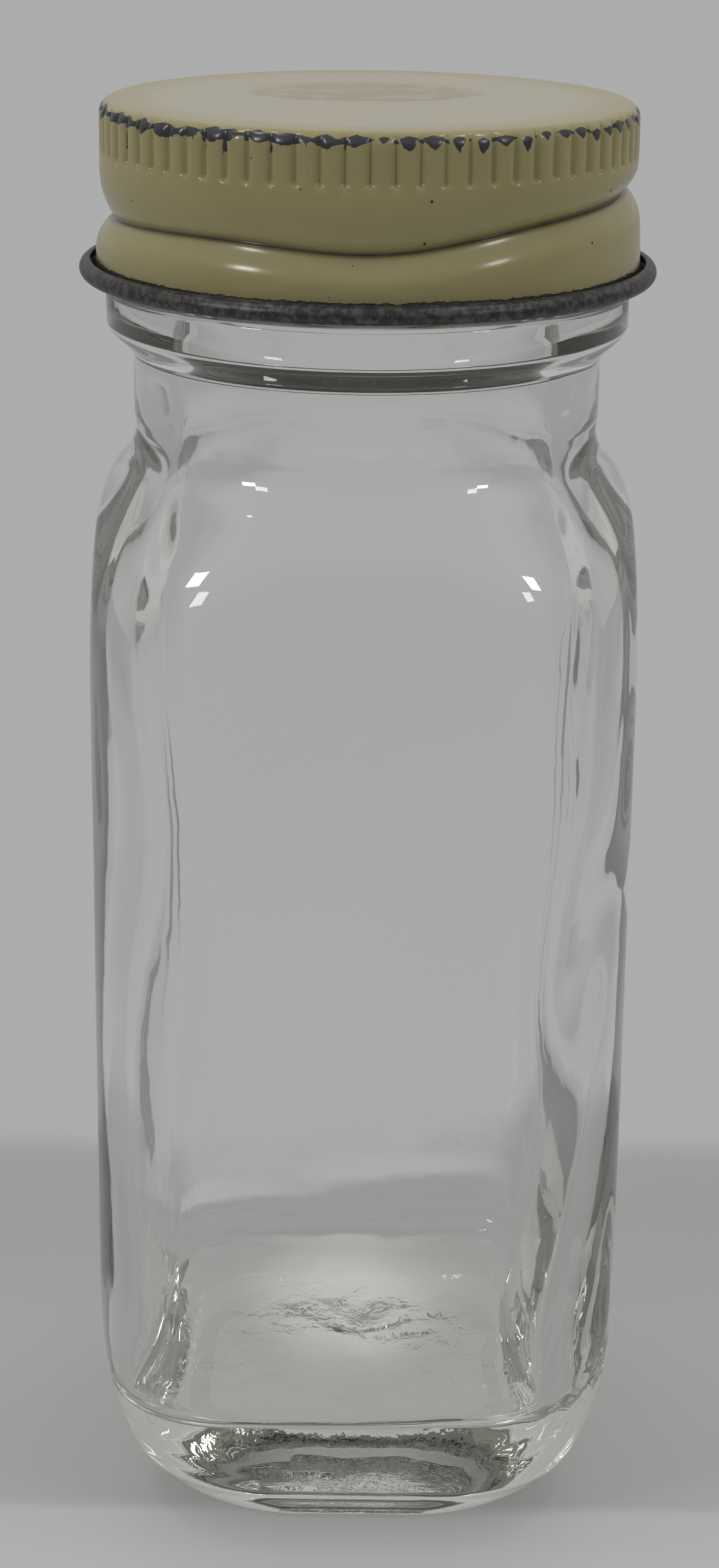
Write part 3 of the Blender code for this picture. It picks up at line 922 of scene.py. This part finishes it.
# The mark on the crown: its middle and half widths, sideways and back, the place and softness of
# its outline, which is fainter behind, and how broken its outline and its inside are
SCUFF_X, SCUFF_Y = -0.0003, 0.0036
SCUFF_ACROSS, SCUFF_BACK = 0.0068, 0.0050
SCUFF_WOBBLE = 0.35
SCUFF_RIM, RIM_SOFT, RIM_BY_PLACE = 0.97, (0.05, 0.16), (-0.5, 0.3, 1.0, 0.45)
RIM_BROKEN = (0.36, 0.60, 0.35, 1.0)
INSIDE_EDGE, INSIDE_PATCHY = (0.9, 1.0), (0.36, 0.58, 0.30, 0.80)
SCUFF_SHARE = 0.9

# Liner: the two tones of each disc with what stains it, and the ring that the lip prints
PULP = colour(0.36, 0.30, 0.21), colour(0.56, 0.49, 0.37)
PULP_CLOUD = colour(0.40, 0.34, 0.25)
PULP_RELIEF = 0.00008
WAX = colour(0.80, 0.78, 0.70), colour(0.70, 0.66, 0.55)
WAX_PRESSED = colour(0.55, 0.50, 0.40)
PRINT_INNER, PRINT_OUTER = (0.0118, 0.0126), (0.0146, 0.0151)
PRINT_RELIEF = 0.00006

CapSockets = namedtuple("CapSockets", "along coarse fine")


def glass_material():
    """Clear flint glass with a faint green body and a soft orange-peel skin."""
    nodes = MaterialNodes("clear_glass")
    nodes.set(Base_Color=GLASS_TINT, Roughness=0.0, IOR=REFRACTIVE_INDEX, Transmission_Weight=1.0)
    under = nodes.fading(nodes.parts(nodes.place)[2], *MOTTLED_UNDER)
    skin = nodes.times(nodes.noise(scale=260.0), 0.3)
    mottle = nodes.times(nodes.noise(scale=750.0, detail=3.0, roughness=0.6), under)
    nodes.set(Normal=nodes.bump(nodes.plus(skin, mottle), GLASS_RELIEF))
    depth = nodes.add("ShaderNodeLightPath").outputs["Glossy Depth"]
    nodes.set(Alpha=nodes.step(depth, *DEEP_MIRRORINGS, 1.0, DEEP_GLASS))
    absorb = nodes.add("ShaderNodeVolumeAbsorption")
    absorb.inputs["Color"].default_value = GLASS_BODY
    absorb.inputs["Density"].default_value = GLASS_DENSITY
    nodes.link(absorb.outputs[0], nodes.output.inputs["Volume"])
    return nodes.material


def worn_places(nodes, cap):
    """1 where the lacquer is worn off, with ragged edges."""
    ragged = nodes.plus(nodes.times(nodes.minus(cap.coarse, 0.5), RAGGED_COARSE),
                        nodes.times(nodes.minus(cap.fine, 0.5), RAGGED_FINE))
    return nodes.step(nodes.plus(nodes.attribute("bare"), ragged), *WORN_EDGE)


def specks(nodes, cap):
    """Small dark specks on the cap's sides, larger where the coarse noise is high."""
    cells = nodes.add("ShaderNodeTexVoronoi")
    nodes.link(nodes.place, cells.inputs["Vector"])
    cells.inputs["Scale"].default_value = SPECK_SCALE
    size = nodes.times(nodes.minus(cap.coarse, SPECK_LEVEL), SPECK_SIZE)
    inside = nodes.math("LESS_THAN", cells.outputs["Distance"], size)
    return nodes.times(inside, nodes.math("GREATER_THAN", cap.along, SPECKS_FROM))


def crown_dust(nodes, cap):
    """A pale film on the crown, which thins out towards its rim."""
    film = nodes.fading(cap.along, *DUST_THINS)
    return nodes.times(nodes.times(film, nodes.blend(cap.fine, *DUST_GRAIN)), DUST_SHARE)


def crown_scuff(nodes, cap):
    """The yellowed ring that something left on the crown, a little behind its middle."""
    x, y, _ = nodes.parts(nodes.place)
    across = nodes.math("DIVIDE", nodes.minus(x, SCUFF_X), SCUFF_ACROSS)
    back = nodes.math("DIVIDE", nodes.minus(y, SCUFF_Y), SCUFF_BACK)
    wobble = nodes.times(nodes.minus(cap.coarse, 0.5), SCUFF_WOBBLE)
    reach = nodes.plus(nodes.root_of_squares(across, back), wobble)
    outline = nodes.fading(nodes.math("ABSOLUTE", nodes.minus(reach, SCUFF_RIM)), *RIM_SOFT)
    outline = nodes.times(outline, nodes.step(back, *RIM_BY_PLACE))
    outline = nodes.times(outline, nodes.step(cap.fine, *RIM_BROKEN))
    inner = nodes.times(nodes.fading(reach, *INSIDE_EDGE), nodes.step(cap.coarse, *INSIDE_PATCHY))
    mark = nodes.times(nodes.larger(outline, inner), SCUFF_SHARE)
    return nodes.times(mark, nodes.math("LESS_THAN", cap.along, 0.0))


def lacquer_colour(nodes, cap):
    """Cream lacquer with the crown's dust and mark, and painted shade in the groove's crease."""
    lacquer = nodes.mix(cap.coarse, *CREAM)
    lacquer = nodes.mix(crown_dust(nodes, cap), lacquer, CROWN_DUST)
    lacquer = nodes.mix(crown_scuff(nodes, cap), lacquer, SCUFF)
    # Painted shade along the groove's crease, a little uneven
    crease_shade = nodes.times(nodes.attribute("crease_shade"), nodes.blend(cap.coarse, 0.75, 1.15))
    return nodes.mix(crease_shade, lacquer, CREASE_SHADE_COLOUR)


def steel_colour(nodes, cap, curl, speck):
    """Dark bare steel, tarnished and a little rusty on the curl."""
    tarnish = nodes.mix(nodes.step(cap.fine, 0.42, 0.60), *TARNISH)
    steel = nodes.mix(curl, nodes.mix(cap.fine, *STEEL), tarnish)
    rusty = nodes.times(nodes.step(cap.coarse, 0.60, 0.72, 0.0, 0.7), curl)
    steel = nodes.mix(rusty, steel, nodes.mix(cap.coarse, *RUST))
    return nodes.mix(speck, steel, SPECK)


def cap_material():
    """Cream lacquer on tinplate, worn to dark steel on the knurl's top edge and the curl."""
    nodes = MaterialNodes("worn_lacquer")
    cap = CapSockets(along=nodes.attribute("along"),
                     coarse=nodes.noise(scale=420.0, detail=3.0, roughness=0.6),
                     fine=nodes.noise(scale=2200.0, detail=3.0, roughness=0.6))
    curl = nodes.math("GREATER_THAN", cap.along, CURL_FROM)
    worn, speck = worn_places(nodes, cap), specks(nodes, cap)
    bare = nodes.larger(worn, speck)
    outside = nodes.mix(bare, lacquer_colour(nodes, cap), steel_colour(nodes, cap, curl, speck))
    inner = nodes.times(nodes.attribute("inside"), nodes.math("LESS_THAN", cap.along, CURL_FROM))
    lacquer_gloss = nodes.blend(cap.fine, 0.14, 0.26)
    bare_gloss = nodes.blend(curl, 0.28, 0.42)
    relief = nodes.minus(nodes.times(cap.coarse, 0.25), bare)
    nodes.set(Base_Color=nodes.mix(inner, outside, nodes.mix(cap.coarse, *TIN)),
              Metallic=nodes.times(worn, 0.7),
              Roughness=nodes.blend(bare, lacquer_gloss, bare_gloss),
              Normal=nodes.bump(relief, SHEET_RELIEF))
    return nodes.material


def board_material():
    """Grey-brown pulp board with fibres."""
    nodes = MaterialNodes("pulp_board")
    fibres = nodes.noise(scale=2600.0, detail=5.0, roughness=0.7)
    cloud = nodes.step(nodes.noise(scale=300.0, detail=3.0), 0.45, 0.7)
    nodes.set(Base_Color=nodes.mix(cloud, nodes.mix(fibres, *PULP), PULP_CLOUD),
              Roughness=0.9, Normal=nodes.bump(fibres, PULP_RELIEF))
    return nodes.material


def facing_material():
    """Waxed white facing with a pressed ring where the lip bears on it."""
    nodes = MaterialNodes("waxed_facing")
    x, y, _ = nodes.parts(nodes.place)
    reach = nodes.root_of_squares(x, y)
    pressed = nodes.times(nodes.step(reach, *PRINT_INNER), nodes.fading(reach, *PRINT_OUTER))
    stain = nodes.noise(scale=500.0, detail=4.0, roughness=0.6)
    tone = nodes.mix(nodes.times(pressed, 0.5), nodes.mix(stain, *WAX), WAX_PRESSED)
    nodes.set(Base_Color=tone, Roughness=nodes.blend(stain, 0.3, 0.5),
              Normal=nodes.bump(nodes.times(pressed, -1.0), PRINT_RELIEF))
    return nodes.material


def finish_node(name, finish):
    """Gives a CAD node that is shown as it is its material."""
    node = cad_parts[name]
    node.data.materials.clear()
    node.data.materials.append(finish)


# Stage

# The tone of the backdrop; then the tent by direction, a span of its back or up part with the
# tones or gains at its ends, for the light that it throws and for its look in glass and metal
BACKDROP = 0.415
LIGHT_BACK, LIGHT_UP = (-0.92, 0.08, 0.045, BACKDROP), (0.0, 0.9, 0.45, 2.95)
LOOK_BACK, LOOK_UP = (-0.5, 0.85, 0.24, BACKDROP), (0.2, 0.6, 1.0, 2.1)
LOOK_MOST = 0.5

# The floor's half width in metres, its colour in front of the bottle and the colours of the painted
# shadow beside it and behind it, and how much of its own look the camera sees in place of the light
# on it
FLOOR_SIZE = 3.0
FRONT_FLOOR, SIDE_SHADOW_FLOOR, BACK_SHADOW_FLOOR = 0.56, 0.52, 0.40
SHADOW_WARMTH = 0.995
OWN_LOOK = 0.5

# Where the floor changes, in metres back from the bottle's axis, to the side, or all round, with
# the strengths at the ends where it dims; the band beside and behind the bottle is painted shadow
SHADOW_BAND_FRONT, SHADOW_BAND_BACK = (-0.0125, -0.0105), (0.043, 0.050)
SHADOW_BAND_SIDE = (0.045, 0.10)
SHADOW_DEEPENS = (0.006, 0.034)
BACKDROP_BACK, BACKDROP_ROUND = (0.040, 0.052), (0.05, 0.12)
DIM_SIDE, DIM_FRONT = (0.05, 0.20, 1.0, 0.8), (-0.16, -0.04, 0.6, 1.0)

# How the floor looks through the glass: painted shadow at the bottle's foot that is a little
# darker outward, with a painted pale pool of light
FOOT_SHADOW_LOOK = colour(0.325, 0.325, 0.315)
RING_SHADOW_LOOK = colour(0.305, 0.305, 0.305 * 0.99)
RING_REACH = (0.014, 0.021)
LIGHT_POOL_LOOK = colour(0.57, 0.565, 0.55)
POOL_CENTRE = (0.0, 0.0095, 0.0)
POOL_REACH = (0.002, 0.0105)

# Soft boxes: name, degrees from the front, degrees up, width and height, and watts
LAMP_DISTANCE = 420
LAMP_TARGET_Z = 60
LAMPS = (
    ("low_lamp_left", -52, 27, (62, 46), 0.24),
    ("low_lamp_right", 52, 27, (50, 40), 0.13),
    ("high_lamp_left", -84, 64, (46, 24), 0.11),
    ("high_lamp_right", 80, 66, (46, 24), 0.10),
)


def grey(tone, warmth=1.0):
    """A grey that is a little short of green and blue when warmth is under 1."""
    return colour(tone, tone * warmth, tone * warmth)


def floor_colour(nodes, across, back):
    """The floor's colour under the lamps, with painted shadow: darker in a band beside and behind
    the bottle.
    """
    band = nodes.times(nodes.step(back, *SHADOW_BAND_FRONT), nodes.fading(back, *SHADOW_BAND_BACK))
    band = nodes.times(band, nodes.fading(nodes.math("ABSOLUTE", across), *SHADOW_BAND_SIDE))
    shadow_tone = nodes.mix(nodes.step(back, *SHADOW_DEEPENS), grey(SIDE_SHADOW_FLOOR, SHADOW_WARMTH),
                         grey(BACK_SHADOW_FLOOR, SHADOW_WARMTH))
    return nodes.mix(band, grey(FRONT_FLOOR), shadow_tone)


def floor_look(nodes, back, reach, far):
    """The tone that the floor has of its own: the backdrop's far off, and set by place near by,
    with painted shadow round the bottle's foot and a painted pool of light.
    """
    from_pool = nodes.add("ShaderNodeVectorMath", operation="DISTANCE")
    nodes.link(nodes.place, from_pool.inputs[0])
    from_pool.inputs[1].default_value = POOL_CENTRE
    light_pool = nodes.fading(from_pool.outputs["Value"], *POOL_REACH)
    foot_shadow = nodes.mix(nodes.step(reach, *RING_REACH), FOOT_SHADOW_LOOK, RING_SHADOW_LOOK)
    near = nodes.mix(nodes.step(back, *SHADOW_BAND_FRONT), grey(BACKDROP),
                     nodes.mix(light_pool, foot_shadow, LIGHT_POOL_LOOK))
    return nodes.mix(far, near, colour(BACKDROP, BACKDROP, BACKDROP * 1.01))


def floor_material():
    """Pale floor that takes the bottle's shadow near by, with painted shadow and light there, and
    is the backdrop far off.
    """
    nodes = MaterialNodes("pale_floor")
    across, back, _ = nodes.parts(nodes.place)
    nodes.set(Base_Color=floor_colour(nodes, across, back), Roughness=0.8, Specular_IOR_Level=0.1)
    length = nodes.add("ShaderNodeVectorMath", operation="LENGTH")
    nodes.link(nodes.place, length.inputs[0])
    reach = length.outputs["Value"]
    far = nodes.larger(nodes.step(back, *BACKDROP_BACK), nodes.step(reach, *BACKDROP_ROUND))
    rays = nodes.add("ShaderNodeLightPath").outputs
    camera, through = rays["Is Camera Ray"], rays["Is Transmission Ray"]
    seen = nodes.larger(camera, nodes.larger(rays["Is Glossy Ray"], through))
    dimmed = nodes.times(nodes.step(nodes.math("ABSOLUTE", across), *DIM_SIDE),
                         nodes.step(back, *DIM_FRONT))
    glow = nodes.add("ShaderNodeEmission")
    nodes.link(floor_look(nodes, back, reach, far), glow.inputs["Color"])
    nodes.link(nodes.larger(dimmed, camera), glow.inputs["Strength"])
    own = nodes.larger(nodes.times(far, seen), through)
    # Half of what the camera sees is the floor's own glow, a painted light that lifts the bottle's
    # shadow
    own = nodes.larger(own, nodes.times(camera, OWN_LOOK))
    mixed = nodes.add("ShaderNodeMixShader")
    for socket, source in zip(mixed.inputs, (own, nodes.shader.outputs[0], glow.outputs[0])):
        nodes.link(source, socket)
    nodes.link(mixed.outputs[0], nodes.output.inputs["Surface"])
    return nodes.material


def make_floor():
    """A pale floor, with painted shadow and light near the bottle."""
    mesh = bpy.data.meshes.new("floor")
    corners = ((-1, -1), (1, -1), (1, 1), (-1, 1))
    mesh.from_pydata([(x * FLOOR_SIZE, y * FLOOR_SIZE, 0) for x, y in corners], [], [(0, 1, 2, 3)])
    made = place_object("floor", mesh)
    mesh.materials.append(floor_material())


def make_world():
    """A pale tent that is dark towards the front, where the camera stands.

    It lights the object more strongly from above than it looks.
    """
    world = bpy.data.worlds.new("tent")
    bpy.context.scene.world = world
    nodes = Nodes(world)
    direction = nodes.add("ShaderNodeTexCoord").outputs["Generated"]
    _, back, up = nodes.parts(direction)
    light = nodes.times(nodes.step(back, *LIGHT_BACK), nodes.step(up, *LIGHT_UP))
    look = nodes.times(nodes.step(back, *LOOK_BACK), nodes.step(up, *LOOK_UP))
    look = nodes.math("MINIMUM", look, LOOK_MOST)
    rays = nodes.add("ShaderNodeLightPath").outputs
    mirrored = nodes.larger(rays["Is Glossy Ray"], rays["Is Transmission Ray"])
    tone = nodes.blend(mirrored, light, look)
    background = nodes.tree.nodes["Background"]
    background.inputs["Color"].default_value = grey(1.0)
    nodes.link(nodes.blend(rays["Is Camera Ray"], tone, BACKDROP), background.inputs["Strength"])


def add_lamp(name, azimuth_deg, elevation_deg, size, watts):
    """A soft box that faces the middle of the bottle."""
    lamp = bpy.data.lights.new(name, "AREA")
    lamp.shape = "RECTANGLE"
    lamp.size, lamp.size_y = size[0] * MM, size[1] * MM
    lamp.energy = watts
    made = place_object(name, lamp)
    azimuth, elevation = math.radians(azimuth_deg), math.radians(elevation_deg)
    middle = Vector((0, 0, LAMP_TARGET_Z * MM))
    away = Vector((math.sin(azimuth) * math.cos(elevation),
                   -math.cos(azimuth) * math.cos(elevation), math.sin(elevation)))
    made.location = middle + away * LAMP_DISTANCE * MM
    made.rotation_euler = (-away).to_track_quat("-Z", "Y").to_euler()


def make_camera():
    """The photograph's camera, close and a little above the bottle."""
    lens = bpy.data.cameras.new("photo_camera")
    lens.sensor_width = SENSOR
    lens.lens = FOCAL_PIXELS * SENSOR / PHOTO_HEIGHT
    lens.clip_start = CLIP_START * MM
    made = place_object("photo_camera", lens)
    made.location = Vector((0, -CAMERA_DISTANCE, CAMERA_HEIGHT)) * MM
    aside = math.atan((AXIS_PIXEL_X - PHOTO_WIDTH / 2) / FOCAL_PIXELS)
    turn = Matrix.Rotation(aside, 4, "Z")
    tip = Matrix.Rotation(math.radians(90 - CAMERA_PITCH_DEG), 4, "X")
    roll = Matrix.Rotation(math.radians(CAMERA_ROLL_DEG), 4, "Z")
    made.rotation_euler = (turn @ tip @ roll).to_euler()
    bpy.context.scene.camera = made


bpy.context.scene.view_settings.view_transform = "Standard"
make_camera()
make_world()
make_floor()
for lamp_values in LAMPS:
    add_lamp(*lamp_values)

make_glass().data.materials.append(glass_material())
make_cap().data.materials.append(cap_material())
finish_node("cap_liner_board", board_material())
finish_node("cap_liner_facing", facing_material())
